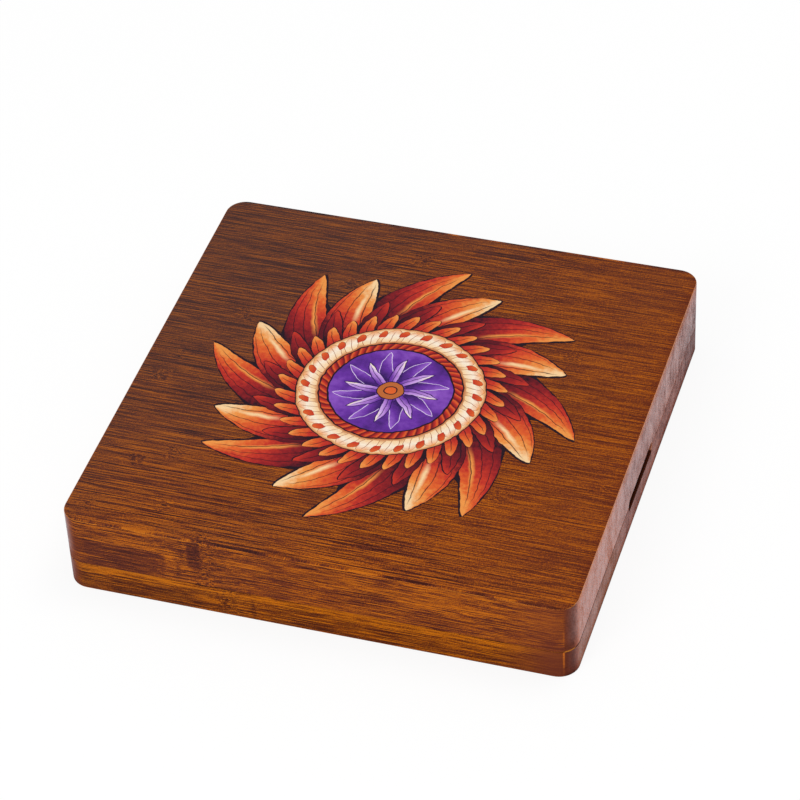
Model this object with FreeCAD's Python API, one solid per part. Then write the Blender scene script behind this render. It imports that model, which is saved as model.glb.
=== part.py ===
"""Dice storage chest: a square bamboo box of two milled blocks.

The lid lifts straight off the base and is held by magnets. Turned over, its felt-lined
hollow is a rolling tray. The base holds wells for dice, made by crossing dividers, and an
open trough in front of them.

Millimetres. Origin: middle of the underside. +X runs to the side with the finger slot,
+Y to the back and +Z up.
"""
import FreeCAD, Part
import math
import os

# ---- Outside -------------------------------------------------------------
chest_width = 200.0      # along X
chest_depth = 200.0      # along Y
base_height = 13.0       # underside to seam
lid_height = 22.0        # seam to top
corner_radius = 8.0      # upright outside corners
edge_ease = 0.5          # rounding of the top and bottom outside edges
seam_ease = 0.25         # bevel on each side of the seam

# ---- Hollows -------------------------------------------------------------
wall = 10.0              # side wall of lid and base
base_floor = 4.0         # wood under the base's hollow
lid_roof = 5.0           # wood over the lid's hollow
hollow_radius = 8.0      # upright inside corners
rim_ease = 0.5           # bevel round the mouth of each hollow

# ---- Finger slot, half in the lid and half in the base -------------------
slot_length = 37.0
slot_height = 4.5
slot_cut = 5.5           # how far it goes into the wall
slot_ease = 0.3          # flare at its mouth

# ---- Felt ----------------------------------------------------------------
base_felt_thick = 1.0
lid_felt_thick = 1.5
band_felt_thick = 1.5
band_setback = 0.5       # from the lid's rim to the band
glue_gap = 0.1           # between felt and an upright wall
band_butt_gap = 0.4      # where the band's two ends meet

# ---- Dividers ------------------------------------------------------------
columns = 7              # one well for each die of a set
rows = 4                 # one row for each set
cell_depth = 23.5        # well, front to back
divider_thick = 2.5
divider_setback = 0.5    # from the base's rim down to the dividers
divider_end_gap = 0.3    # from a divider's end to the wall
divider_ease = 0.3       # rounding of a divider's top edges
lap_gap = 0.1            # play in each crossing

# ---- Magnets -------------------------------------------------------------
magnet_radius = 3.0
magnet_thick = 3.0
magnet_ease = 0.3        # rounding of a magnet's rims
magnet_gap = 0.1         # round the magnet and behind it
magnet_setback = 0.15    # from the rim to the magnet's face

# ---- Printed ornament: a wheel of long and short flames ------------------
print_thick = 0.1
print_flames = 8         # long ones, with as many short ones between them
print_root_radius = 42.0
print_long_tip = 77.5
print_short_tip = 69.0
print_fullness = 0.68    # share of the wheel that the flames fill at their roots
print_bulge = 1.2        # how much they swell before they narrow
print_taper = 0.85       # how they narrow: 1 is even, less is blunter
print_border = 0.5       # dark line outside each flame
print_lean = 0.085       # share of a turn by which a long tip leans

# ---- Worked out from the values above ------------------------------------
hollow_width = chest_width - 2 * wall
hollow_depth = chest_depth - 2 * wall
chest_height = base_height + lid_height
base_felt_top = base_floor + base_felt_thick
lid_hollow_top = chest_height - lid_roof
lid_felt_under = lid_hollow_top - lid_felt_thick
divider_top = base_height - divider_setback
divider_middle = (base_felt_top + divider_top) / 2
cell_width = (hollow_width - (columns - 1) * divider_thick) / columns
overshoot = 1.0          # cutting tools run this far past what they cut


def rounded_wire(width, depth, radius, z):
    """Closed outline of a rectangle with rounded corners, centred on the Z axis."""
    edges = []
    bend = math.sqrt(0.5) * radius
    for sx, sy in ((1, 1), (-1, 1), (-1, -1), (1, -1)):
        cx = sx * (width / 2 - radius)
        cy = sy * (depth / 2 - radius)
        on_side = FreeCAD.Vector(cx + sx * radius, cy, z)
        on_end = FreeCAD.Vector(cx, cy + sy * radius, z)
        middle = FreeCAD.Vector(cx + sx * bend, cy + sy * bend, z)
        first, last = (on_side, on_end) if sx * sy > 0 else (on_end, on_side)
        if edges:
            edges.append(Part.LineSegment(edges[-1].EndPoint, first))
        edges.append(Part.Arc(first, middle, last))
    edges.append(Part.LineSegment(edges[-1].EndPoint, edges[0].StartPoint))
    return Part.Wire([edge.toShape() for edge in edges])


def rounded_block(width, depth, radius, low, high):
    """Upright block with rounded corners, from height low to height high."""
    face = Part.Face(rounded_wire(width, depth, radius, low))
    return face.extrude(FreeCAD.Vector(0, 0, high - low))


def box(x_low, x_high, y_low, y_high, z_low, z_high):
    """Plain box between two corners."""
    corner = FreeCAD.Vector(x_low, y_low, z_low)
    return Part.makeBox(x_high - x_low, y_high - y_low, z_high - z_low, corner)


def level_edges(solid, z, half_width):
    """Edges that lie at height z, no further than half_width from the middle along X."""
    found = []
    for edge in solid.Edges:
        bounds = edge.BoundBox
        flat = abs(bounds.ZMin - z) < 1e-6 and abs(bounds.ZMax - z) < 1e-6
        if flat and max(abs(bounds.XMin), abs(bounds.XMax)) < half_width:
            found.append(edge)
    return found


def slot_wire(length, height, x):
    """Round-ended outline in a plane across X, centred on the seam."""
    half = (length - height) / 2
    radius = height / 2
    mid = base_height
    top_left = FreeCAD.Vector(x, -half, mid + radius)
    top_right = FreeCAD.Vector(x, half, mid + radius)
    low_right = FreeCAD.Vector(x, half, mid - radius)
    low_left = FreeCAD.Vector(x, -half, mid - radius)
    edges = [
        Part.LineSegment(top_left, top_right),
        Part.Arc(top_right, FreeCAD.Vector(x, half + radius, mid), low_right),
        Part.LineSegment(low_right, low_left),
        Part.Arc(low_left, FreeCAD.Vector(x, -half - radius, mid), top_left),
    ]
    return Part.Wire([edge.toShape() for edge in edges])


def finger_slot():
    """Cutter for the finger slot in the +X wall, flared at its mouth."""
    side = chest_width / 2
    deep = slot_wire(slot_length, slot_height, side - slot_cut)
    prism = Part.Face(deep).extrude(FreeCAD.Vector(slot_cut + overshoot, 0, 0))
    narrow = slot_wire(slot_length, slot_height, side - slot_ease)
    grow = 4 * slot_ease
    wide = slot_wire(slot_length + grow, slot_height + grow, side + slot_ease)
    flare = Part.makeLoft([narrow, wide], True, True)
    return prism.fuse(flare)


def magnet_centres():
    """Name and place of each corner's magnet, midway across the wall's diagonal."""
    inset = 1 - math.sqrt(0.5)
    reach = -(corner_radius * inset + wall + hollow_radius * inset) / 2
    x = chest_width / 2 + reach
    y = chest_depth / 2 + reach
    return {
        "front_left": (-x, -y),
        "front_right": (x, -y),
        "back_left": (-x, y),
        "back_right": (x, y),
    }


def magnet_pockets(low, high):
    """Cutters for the four magnet pockets between two heights."""
    radius = magnet_radius + magnet_gap
    cutters = []
    for x, y in magnet_centres().values():
        cutters.append(Part.makeCylinder(radius, high - low, FreeCAD.Vector(x, y, low)))
    return cutters


def milled_block(low, high, seam, hollow_low, hollow_high):
    """Lid or base: eased outside, hollowed from the seam, with the finger slot cut."""
    outside_edge = high if seam == low else low
    beyond = chest_width
    block = rounded_block(chest_width, chest_depth, corner_radius, low, high)
    block = block.makeFillet(edge_ease, level_edges(block, outside_edge, beyond))
    block = block.makeChamfer(seam_ease, level_edges(block, seam, beyond))
    block = block.cut(
        rounded_block(hollow_width, hollow_depth, hollow_radius, hollow_low, hollow_high)
    )
    inner = level_edges(block, seam, hollow_width / 2 + seam_ease)
    block = block.makeChamfer(rim_ease, inner)
    pocket_depth = magnet_setback + magnet_thick + magnet_gap
    if seam == low:
        pockets = magnet_pockets(seam - overshoot, seam + pocket_depth)
    else:
        pockets = magnet_pockets(seam - pocket_depth, seam + overshoot)
    return block.cut(pockets + [finger_slot()])


def make_base_body():
    """Lower block, hollowed from above."""
    over = base_height + overshoot
    return milled_block(0, base_height, base_height, base_floor, over)


def make_lid_body():
    """Upper block, hollowed from below."""
    under = base_height - overshoot
    return milled_block(base_height, chest_height, base_height, under, lid_hollow_top)


def felt_sheet(low, high):
    """Felt sheet that fills a hollow from wall to wall."""
    return rounded_block(
        hollow_width - 2 * glue_gap,
        hollow_depth - 2 * glue_gap,
        hollow_radius - glue_gap,
        low,
        high,
    )


def make_lid_felt_band():
    """Felt strip that goes once round the lid's wall and meets itself on the left."""
    low = base_height + band_setback
    inset = glue_gap + band_felt_thick
    outer = felt_sheet(low, lid_felt_under)
    inner = rounded_block(
        hollow_width - 2 * inset,
        hollow_depth - 2 * inset,
        hollow_radius - inset,
        low - overshoot,
        lid_felt_under + overshoot,
    )
    butt = box(
        -hollow_width / 2 - overshoot,
        -hollow_width / 2 + inset + overshoot,
        -band_butt_gap / 2,
        band_butt_gap / 2,
        low - overshoot,
        lid_felt_under + overshoot,
    )
    return outer.cut([inner, butt])


def long_divider_y(row):
    """Middle of the divider in front of a row. Row 1 is at the back."""
    return hollow_depth / 2 - row * cell_depth - (row - 0.5) * divider_thick


def cross_divider_x(column):
    """Middle of the divider to the right of a column. Column 1 is on the left."""
    return -hollow_width / 2 + column * cell_width + (column - 0.5) * divider_thick


def eased_strip(x_low, x_high, y_low, y_high):
    """Upright strip from the felt to the dividers' top, with rounded top edges."""
    strip = box(x_low, x_high, y_low, y_high, base_felt_top, divider_top)
    return strip.makeFillet(divider_ease, level_edges(strip, divider_top, chest_width))


def make_long_divider(row):
    """Divider from left to right, notched from above where the others cross it."""
    y = long_divider_y(row)
    half = divider_thick / 2
    reach = hollow_width / 2 - divider_end_gap
    strip = eased_strip(-reach, reach, y - half, y + half)
    notches = []
    for column in range(1, columns):
        x = cross_divider_x(column)
        side = half + lap_gap
        low = divider_middle - lap_gap / 2
        high = divider_top + overshoot
        notches.append(box(x - side, x + side, y - side, y + side, low, high))
    return strip.cut(notches)


def make_cross_divider(column):
    """Divider from the back wall to the trough, notched from below at each crossing."""
    x = cross_divider_x(column)
    half = divider_thick / 2
    back = hollow_depth / 2 - divider_end_gap
    front = long_divider_y(rows) - half
    strip = eased_strip(x - half, x + half, front, back)
    notches = []
    for row in range(1, rows + 1):
        y = long_divider_y(row)
        side = half + lap_gap
        low = base_felt_top - overshoot
        high = divider_middle + lap_gap / 2
        notches.append(box(x - side, x + side, y - side, y + side, low, high))
    return strip.cut(notches)


def make_magnet(x, y, low):
    """Round magnet with eased rims, standing on height low."""
    disc = Part.makeCylinder(magnet_radius, magnet_thick, FreeCAD.Vector(x, y, low))
    rims = [edge for edge in disc.Edges if edge.BoundBox.ZLength < 1e-6]
    return disc.makeFillet(magnet_ease, rims)


def flame_half_turn(radius, tip):
    """Half of a flame's width at a radius, border included, as a share of a full turn."""
    along = (radius - print_root_radius) / (tip - print_root_radius)
    shape = (1 - along) ** print_taper * (1 + print_bulge * along)
    width = print_fullness * print_root_radius * shape / (2 * print_flames)
    return (width + print_border / (2 * math.pi)) / radius


def flame_valley_radius():
    """Radius at which a long and a short flame part from each other."""
    near, far = print_root_radius, print_short_tip
    while far - near > 1e-6:
        middle = (near + far) / 2
        both = flame_half_turn(middle, print_long_tip) + flame_half_turn(middle, print_short_tip)
        if both > 0.5 / print_flames:
            near = middle
        else:
            far = middle
    return near


def flame_flank(centre, tip, side, valley):
    """Smooth curve from a valley to a flame's tip. The side is -1 or 1."""
    points = []
    lean = print_lean / (print_long_tip - print_root_radius)
    for share in (0.0, 0.2, 0.4, 0.6, 0.8, 0.92, 1.0):
        radius = valley + (tip - valley) * share
        half = flame_half_turn(radius, tip) if share < 1 else 0.0
        turn = centre + side * half - lean * (radius - print_root_radius)
        angle = 2 * math.pi * turn
        points.append(
            FreeCAD.Vector(radius * math.cos(angle), radius * math.sin(angle), chest_height)
        )
    return points


def make_lid_print():
    """Ink layer on the top of the lid, cut to the outline of the flame wheel."""
    valley = flame_valley_radius()
    flanks = []
    for flame in range(2 * print_flames):
        centre = flame / (2 * print_flames)
        tip = print_long_tip if flame % 2 else print_short_tip
        flanks.append(flame_flank(centre, tip, -1, valley))
        flanks.append(flame_flank(centre, tip, 1, valley)[::-1])
    edges = []
    for index, points in enumerate(flanks):
        # neighbours share their end points exactly
        points[-1] = flanks[(index + 1) % len(flanks)][0]
        curve = Part.BSplineCurve()
        curve.interpolate(points)
        edges.append(curve.toShape())
    return Part.Face(Part.Wire(edges)).extrude(FreeCAD.Vector(0, 0, print_thick))


def make_parts():
    """Every piece by its name."""
    parts = {
        "base_body": make_base_body(),
        "base_felt": felt_sheet(base_floor, base_felt_top),
        "lid_body": make_lid_body(),
        "lid_felt_sheet": felt_sheet(lid_felt_under, lid_hollow_top),
        "lid_felt_band": make_lid_felt_band(),
        "lid_print": make_lid_print(),
    }
    for row in range(1, rows + 1):
        parts[f"long_divider_{row}"] = make_long_divider(row)
    for column in range(1, columns):
        parts[f"cross_divider_{column}"] = make_cross_divider(column)
    for corner, (x, y) in magnet_centres().items():
        base_low = base_height - magnet_setback - magnet_thick
        lid_low = base_height + magnet_setback
        parts[f"base_magnet_{corner}"] = make_magnet(x, y, base_low)
        parts[f"lid_magnet_{corner}"] = make_magnet(x, y, lid_low)
    return parts


os.makedirs("parts", exist_ok=True)
for name, shape in make_parts().items():
    shape.exportStep(f"parts/{name}.step")
    print(name, "valid" if shape.isValid() else "not valid", len(shape.Solids), "solid")
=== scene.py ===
# %% [markdown]
# # A dice chest in bamboo, felt and ink
# The chest is two blocks of stained bamboo, milled hollow, with felt in the lid, dividers in
# the base and a printed ornament on top. Its blocks, dividers and magnets come from the
# construction model, which this lesson leaves where it is. What is made here is what a
# construction model leaves out: the grain, the print, the felt and the light.

# %% Load the frame
import bpy
import bmesh
import math
from mathutils import Matrix, Vector
from mathutils import noise as fixed_noise
from types import SimpleNamespace


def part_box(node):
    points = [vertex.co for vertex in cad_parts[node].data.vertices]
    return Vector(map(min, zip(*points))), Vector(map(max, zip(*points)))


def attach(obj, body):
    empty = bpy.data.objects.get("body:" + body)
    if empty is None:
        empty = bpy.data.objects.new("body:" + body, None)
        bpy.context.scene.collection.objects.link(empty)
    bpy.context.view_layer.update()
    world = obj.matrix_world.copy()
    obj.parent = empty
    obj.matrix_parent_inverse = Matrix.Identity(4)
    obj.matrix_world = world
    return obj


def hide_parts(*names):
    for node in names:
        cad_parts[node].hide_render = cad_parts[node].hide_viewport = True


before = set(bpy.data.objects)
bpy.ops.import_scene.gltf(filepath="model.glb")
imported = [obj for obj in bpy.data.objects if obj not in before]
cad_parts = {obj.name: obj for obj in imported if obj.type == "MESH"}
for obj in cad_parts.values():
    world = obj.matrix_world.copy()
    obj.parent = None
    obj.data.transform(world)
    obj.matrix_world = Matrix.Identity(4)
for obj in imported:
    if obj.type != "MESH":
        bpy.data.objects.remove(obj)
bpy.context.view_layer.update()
MM = 0.001
lid_high, base_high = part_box("lid_body")[1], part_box("base_body")[1]

# %% [markdown]
# ## Sums on a surface
# A pattern in wood or ink is a formula over the place on the surface. Shader nodes can work
# it out, but a formula laid out as loose nodes is hard to read. So what a node puts out is
# wrapped as a Value here, and each sum of Values places the maths node that does it.

# %% Values to calculate with
class Value:
    """What a node puts out. Arithmetic with it places maths nodes."""

    def __init__(self, socket):
        self.socket = socket

    def __add__(self, other):
        return maths("ADD", self, other)

    def __radd__(self, other):
        return maths("ADD", other, self)

    def __sub__(self, other):
        return maths("SUBTRACT", self, other)

    def __rsub__(self, other):
        return maths("SUBTRACT", other, self)

    def __mul__(self, other):
        return maths("MULTIPLY", self, other)

    def __truediv__(self, other):
        return maths("DIVIDE", self, other)

    def __pow__(self, other):
        return maths("POWER", self, other)

    def __abs__(self):
        return maths("ABSOLUTE", self)


def new_node(kind, *given):
    """Node of this kind, in the tree that the given values belong to."""
    tree = next(value.socket.id_data for value in given if isinstance(value, Value))
    return tree.nodes.new(kind)


def feed(socket, given):
    """Links a value to a socket, or writes a number or colour into it."""
    source = given.socket if isinstance(given, Value) else given
    if isinstance(source, bpy.types.NodeSocket):
        socket.id_data.links.new(source, socket)
    else:
        socket.default_value = source


def feed_all(sockets, given):
    """Feeds sockets in their own order."""
    for socket, value in zip(sockets, given):
        feed(socket, value)


def feed_named(node, **given):
    """Feeds a node's inputs by name. A space in a name is written as _ here."""
    for name, value in given.items():
        feed(node.inputs[name.replace("_", " ")], value)


def maths(operation, *given, clamp=False):
    """One maths node on single numbers."""
    node = new_node("ShaderNodeMath", *given)
    node.operation = operation
    node.use_clamp = clamp
    feed_all(node.inputs, given)
    return Value(node.outputs[0])


def vector_maths(operation, *given):
    """One maths node on vectors. A length comes out as a number, all else as a vector."""
    node = new_node("ShaderNodeVectorMath", *given)
    node.operation = operation
    feed_all(node.inputs, given)
    return Value(node.outputs["Value" if operation == "LENGTH" else "Vector"])


print("values ready")

# %% [markdown]
# ## Small helpers for shader nodes
# Each helper places one node, feeds it what it is given and hands back what it puts out.
# The ramp is used most: it goes smoothly from one value to another between two limits.

# %% Node helpers
def ramp(value, low, high, start=0.0, end=1.0):
    """Goes smoothly from start to end while value goes from low to high."""
    node = new_node("ShaderNodeMapRange", value, low, high, start, end)
    node.interpolation_type = "SMOOTHSTEP"
    feed_named(node, Value=value, From_Min=low, From_Max=high, To_Min=start, To_Max=end)
    return Value(node.outputs["Result"])


def mix_colours(share, first, second, blend="MIX"):
    """Colour between first and second, by share."""
    node = new_node("ShaderNodeMix", share, first, second)
    node.data_type = "RGBA"
    node.blend_type = blend
    # a mix node numbers its inputs over all its data types, and the colours are 6 and 7
    feed_all((node.inputs[0], node.inputs[6], node.inputs[7]), (share, first, second))
    return Value(node.outputs[2])


def joined(x, y, z):
    """Vector from three values."""
    node = new_node("ShaderNodeCombineXYZ", x, y, z)
    feed_all(node.inputs, (x, y, z))
    return Value(node.outputs[0])


def split(vector):
    """The three values of a vector."""
    node = new_node("ShaderNodeSeparateXYZ", vector)
    feed(node.inputs[0], vector)
    return [Value(socket) for socket in node.outputs]


def noise(vector, scale=1.0, detail=2.0, roughness=0.5, distortion=0.0, output="Fac"):
    """Cloudy value round 0.5 that follows the vector."""
    node = new_node("ShaderNodeTexNoise", vector)
    feed_named(node, Vector=vector, Scale=scale, Detail=detail, Roughness=roughness,
               Distortion=distortion)
    return Value(node.outputs[output])


def random_of(number):
    """Three values from 0 to 1 that depend on a whole number only."""
    node = new_node("ShaderNodeTexWhiteNoise", number)
    node.noise_dimensions = "1D"
    feed(node.inputs["W"], number)
    return split(Value(node.outputs["Color"]))


def stops(value, *steps):
    """Colour ramp through (place, colour) steps."""
    node = new_node("ShaderNodeValToRGB", value)
    elements = node.color_ramp.elements
    while len(elements) < len(steps):
        elements.new(0.5)
    for element, (place, colour) in zip(elements, steps):
        element.position = place
        element.color = colour
    feed(node.inputs[0], value)
    return Value(node.outputs[0])


def paint(red, green, blue):
    """Colour from screen values of 0 to 255."""
    parts = []
    for value in (red, green, blue):
        share = value / 255
        parts.append(share / 12.92 if share <= 0.04045 else ((share + 0.055) / 1.055) ** 2.4)
    return (*parts, 1.0)


print("node helpers ready")

# %% [markdown]
# ## Helpers for groups, materials and objects
# An effect that several materials share is a node group with named inputs, built once. A
# material starts as one Principled shader, and its patterns read the place on the piece in
# millimetres, so that a number in a formula is a size that can be measured on the chest.

# %% Group, material and object helpers
def new_group(name, inputs, outputs):
    """Empty group. An input without a value is a vector, and any other is a number."""
    tree = bpy.data.node_groups.new(name, "ShaderNodeTree")
    for label, value in inputs.items():
        kind = "NodeSocketVector" if value is None else "NodeSocketFloat"
        socket = tree.interface.new_socket(label, in_out="INPUT", socket_type=kind)
        if value is not None:
            socket.default_value = value
    for label in outputs:
        tree.interface.new_socket(label, in_out="OUTPUT", socket_type="NodeSocketFloat")
    given = {socket.name: Value(socket) for socket in tree.nodes.new("NodeGroupInput").outputs}
    result = tree.nodes.new("NodeGroupOutput").inputs
    return tree, given, result


def use_group(group, **given):
    """Places a group and feeds it. Returns what it puts out, by name."""
    node = new_node("ShaderNodeGroup", *given.values())
    node.node_tree = group
    feed_named(node, **given)
    return {socket.name: Value(socket) for socket in node.outputs}


def new_material(name):
    """Material with one Principled shader. Returns material, tree and shader."""
    material = bpy.data.materials.new(name)
    material.use_nodes = True
    tree = material.node_tree
    tree.nodes.clear()
    shader = tree.nodes.new("ShaderNodeBsdfPrincipled")
    out = tree.nodes.new("ShaderNodeOutputMaterial")
    feed(out.inputs[0], shader.outputs[0])
    return material, tree, shader


def coordinates(tree, kind):
    """One of the coordinates that a surface has, such as Object or Normal."""
    return Value(tree.nodes.new("ShaderNodeTexCoord").outputs[kind])


def place_in_mm(tree):
    """Place on the piece, in millimetres."""
    return vector_maths("MULTIPLY", coordinates(tree, "Object"), [1 / MM] * 3)


def add_bump(shader, height, distance, strength):
    """Lets a height tilt the light on the surface. The distance is in millimetres."""
    bump = new_node("ShaderNodeBump", height)
    feed_named(bump, Height=height, Distance=distance * MM, Strength=strength)
    feed(shader.inputs["Normal"], bump.outputs[0])


def new_object(name, data):
    """Object of the scene, from a mesh, a camera or a lamp."""
    made = bpy.data.objects.new(name, data)
    bpy.context.scene.collection.objects.link(made)
    return made


def object_from(shape, name):
    """Object of the scene, from a mesh that was built corner by corner."""
    mesh = bpy.data.meshes.new(name)
    shape.to_mesh(mesh)
    shape.free()
    return new_object(name, mesh)


print("group, material and object helpers ready")

# %% [markdown]
# ## Bamboo grain
# A bamboo board is glued from narrow strips. Each strip has its own tone, fibres that run its
# whole length, and a knuckle wherever the stem had a joint. Stretched noise gives the fibres.
# It is thin across the strip and long along it. A random number for each strip shifts its
# fibres, tone and knuckles, so that neighbours differ.

# %% Bamboo grain group
# where in y the joint between two strips lies that is next to the middle
first_joint = -1.9


def make_grain_group():
    """Lightness and relief of bamboo whose fibres run along x."""
    tree, given, result = new_group(
        "bamboo_grain",
        {"Place": None, "Seed": 0.0, "Strip Width": 7.1, "Knuckle Spacing": 230.0,
         "Knuckle Shift": 0.0, "Fibre Length": 1.0},
        ["Tone", "Fibre"],
    )
    x, y, z = split(given["Place"])
    strips = (y - first_joint) / given["Strip Width"]
    lot = random_of(maths("FLOOR", strips) + given["Seed"])

    # knuckles: one each spacing, at a random place of each strip
    turn = (x + given["Knuckle Shift"]) / given["Knuckle Spacing"] + lot[2]
    away = abs((maths("FRACT", turn) - 0.5) * given["Knuckle Spacing"])
    cloud = noise(joined(x * 0.35, y * 0.5, z * 0.5), detail=3.0, roughness=0.55)
    near = ramp(away, 6.0, 0.5) * ramp(lot[1], 0.1, 0.9, 0.15, 1.0)
    knuckle = near * ramp(cloud, 0.38, 0.66)

    # fibres bend where the knuckle is
    bend = (cloud - 0.5) * (near * 3.0)
    across, upward = y + bend, z + bend
    along = (x + lot[0] * 400.0) / given["Fibre Length"]

    def streaks(length, width, detail=1.0, aside=0.0):
        """Noise drawn out along the fibres, into streaks of about this length and width."""
        place = joined(along * (1 / length), (across + aside) * (1 / width),
                       (upward + aside) * (1 / width))
        return noise(place, detail=detail)

    def lines(length, width, aside):
        """The difference of two neighbouring streaks: fine lines and no broad ones."""
        return streaks(length, width, 1.5, aside) - streaks(length, width, 1.5, -aside)

    def about(value, strength):
        """Turns a value round 0.5 into one round 0."""
        return (value - 0.5) * strength

    long_fibre, short_fibre = streaks(100.0, 0.50, 2.0), streaks(22.0, 0.30, 1.5)
    tone = 0.5 + about(long_fibre, 0.18)
    tone += about(streaks(13.0, 0.14), 1.1)
    tone += lines(70.0, 0.34, 0.14) * 1.7
    tone += about(noise(given["Place"], scale=2.6, detail=1.0), 1.1)
    bright_line = ramp(streaks(60.0, 0.3), 0.6, 0.7, 0.0, 0.3)
    dark_line = ramp(streaks(90.0, 0.34), 0.61, 0.7, 0.0, 0.15)
    tone += bright_line - dark_line
    tone += about(short_fibre, 0.72)
    tone += lines(18.0, 0.26, 0.11) * 1.2
    tone += about(streaks(120.0, 4.5, 2.0), 0.05)
    tone += about(lot[1], 0.045)
    tone -= knuckle * 0.2
    # a thin dark joint here and there between two strips
    joint = ramp(maths("FRACT", strips), 0.045, 0.015)
    tone -= joint * ramp(streaks(45.0, 6.0), 0.46, 0.62) * 0.16
    feed(result["Tone"], tone)
    feed(result["Fibre"], about(long_fibre, 1.0) + about(short_fibre, 0.6))
    return tree


bamboo_grain = make_grain_group()
print("group", bamboo_grain.name)

# %% [markdown]
# ## Bamboo end grain
# Cut across, the same strips stand side by side. Each shows the ends of its fibres as dark
# specks, crowded towards what was the outside of the stem. The saw has smeared them upwards.

# %% Bamboo end-grain group
def make_end_group():
    """Lightness of bamboo cut across its fibres."""
    tree, given, result = new_group(
        "bamboo_end", {"Place": None, "Seed": 0.0, "Strip Width": 7.1}, ["Tone"],
    )
    y, z = split(given["Place"])[1:]
    strips = (y - first_joint) / given["Strip Width"]
    lot = random_of(maths("FLOOR", strips) + given["Seed"])
    specks = new_node("ShaderNodeTexVoronoi", y)
    feed_named(specks, Vector=joined(0.0, y, z * 0.6), Scale=1.5)
    speck = ramp(Value(specks.outputs["Distance"]), 0.42, 0.12)
    speck *= ramp(maths("FRACT", strips), 0.0, 0.9, 0.35, 1.0)
    smear = noise(joined(given["Seed"], y * 0.15, z * 0.1), detail=4.0, roughness=0.62)
    strand = noise(joined(given["Seed"], y * 0.75, z * 0.24), detail=3.0, roughness=0.65)
    mottle = noise(given["Place"], scale=1.5, detail=1.0)
    tone = 0.5 + (lot[0] - 0.5) * 0.15
    for cloud, strength in ((smear, 0.85), (strand, 0.85), (mottle, 0.8)):
        tone += (cloud - 0.5) * strength
    feed(result["Tone"], tone - speck * 0.2)
    return tree


bamboo_end = make_end_group()
print("group", bamboo_end.name)

# %% [markdown]
# ## Marks on the blocks
# Stain is never even. It takes darker round a knuckle and wears thin along an edge, and painted
# light and shade mark the edges, the seam and the finger slot. Each such place is a soft spot or
# a soft band, and the same two groups make them all.

# %% Soft spot and soft band groups
def make_spot_group():
    """1 in the middle of an oval spot, 0 outside it, with a ragged edge."""
    tree, given, result = new_group(
        "soft_spot", {"Place": None, "Middle": None, "Reach": None}, ["Share"])
    apart = vector_maths("SUBTRACT", given["Place"], given["Middle"])
    away = vector_maths("LENGTH", vector_maths("DIVIDE", apart, given["Reach"]))
    ragged = noise(given["Place"], scale=0.45, detail=3.0, roughness=0.65)
    feed(result["Share"], ramp(away + ragged * 1.1, 1.45, 0.75))
    return tree


def make_band_group():
    """1 where a value lies between two limits, fading over a soft margin."""
    tree, given, result = new_group(
        "soft_band", {"Value": 0.0, "Low": 0.0, "High": 1.0, "Fade": 1.0}, ["Share"])
    least = maths("MINIMUM", given["Value"] - given["Low"], given["High"] - given["Value"])
    feed(result["Share"], maths("DIVIDE", least, given["Fade"], clamp=True))
    return tree


soft_spot = make_spot_group()
soft_band = make_band_group()


def spot(place, middle, reach):
    """1 inside an oval spot."""
    return use_group(soft_spot, Place=place, Middle=middle, Reach=reach)["Share"]


def band(value, low, high, fade):
    """1 between two limits."""
    return use_group(soft_band, Value=value, Low=low, High=high, Fade=fade)["Share"]


print("groups", soft_spot.name, soft_band.name)

# %% [markdown]
# ## Stained bamboo: reading the surface
# The blocks are stained brown and rubbed with oil, and the two cut ends have a sealing coat,
# so they shine where the long sides stay matt. Which of these a place belongs to shows in the
# way that its surface faces. Everything that the next steps ask about a place is read here.

# %% Read the surface of a block
seam, top = base_high.z / MM, lid_high.z / MM
half_width, half_depth = lid_high.x / MM, lid_high.y / MM
edge_radius, corner_radius = 1.2, 8.0
slot_half_length, slot_half_height, slot_depth, slot_bevel = 18.5, 2.25, 5.5, 0.3


def read_surface(tree, own):
    """Where a place lies, how it faces, and the grain there."""
    at = SimpleNamespace(place=place_in_mm(tree))
    at.x, at.y, at.z = split(at.place)
    across_x, across_y, at.facing_up = split(coordinates(tree, "Normal"))
    at.end_on = abs(across_x)
    at.front_on = ramp(across_y, -0.5, -0.8)
    # the last millimetre of the block, whichever way it faces there
    at.outermost = ramp(abs(at.x), half_width - edge_radius, half_width - 0.6)
    # round a corner the fibres keep their height, so the place across them is held there
    last = half_depth - edge_radius
    held_y = maths("MINIMUM", maths("MAXIMUM", at.y, -last), last)
    upright = ramp(abs(at.facing_up), 0.8, 0.6)
    upright *= maths("GREATER_THAN", abs(at.y), half_depth - corner_radius - 1)
    held_y += (maths("SIGN", at.y) * last - held_y) * upright
    length = ramp(at.front_on, 0.0, 1.0, 0.62, own.front_fibre)
    grain = use_group(bamboo_grain, Place=joined(at.x, held_y, at.z * 1.25), Seed=own.seed,
                      Knuckle_Shift=own.knuckle_shift, Fibre_Length=length)
    at.grain, at.relief = grain["Tone"], grain["Fibre"]
    at.fibre = at.grain - 0.5
    at.wavy_z = at.z + at.fibre * 1.8
    at.fine = noise(at.place, scale=2.1, detail=1.5)
    straight = half_depth - corner_radius
    at.rounding = ramp(abs(at.y), straight - 0.5, straight + 1)
    # the far part of a cut end shows its smears most, the roundings hardly any
    end = use_group(bamboo_end, Place=at.place, Seed=own.seed)["Tone"]
    at.smeared = (end - 0.5) * ramp(at.y, 0.0, 60.0, 1.25, 1.65)
    at.smeared *= ramp(at.rounding, 0.0, 1.0, 1.0, 0.5)
    return at


print("seam at", round(seam, 2), "mm and top at", round(top, 2), "mm")

# %% [markdown]
# ## Stained bamboo: how dark the stain is
# One number says how light the wood is at a place, and a row of colours turns it into brown.
# The fibres give that number, and each uneven place in the stain adds to it or takes from it.
# Each block has its own boxes, spots, bands and knots, so that no two fronts are alike.

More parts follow.
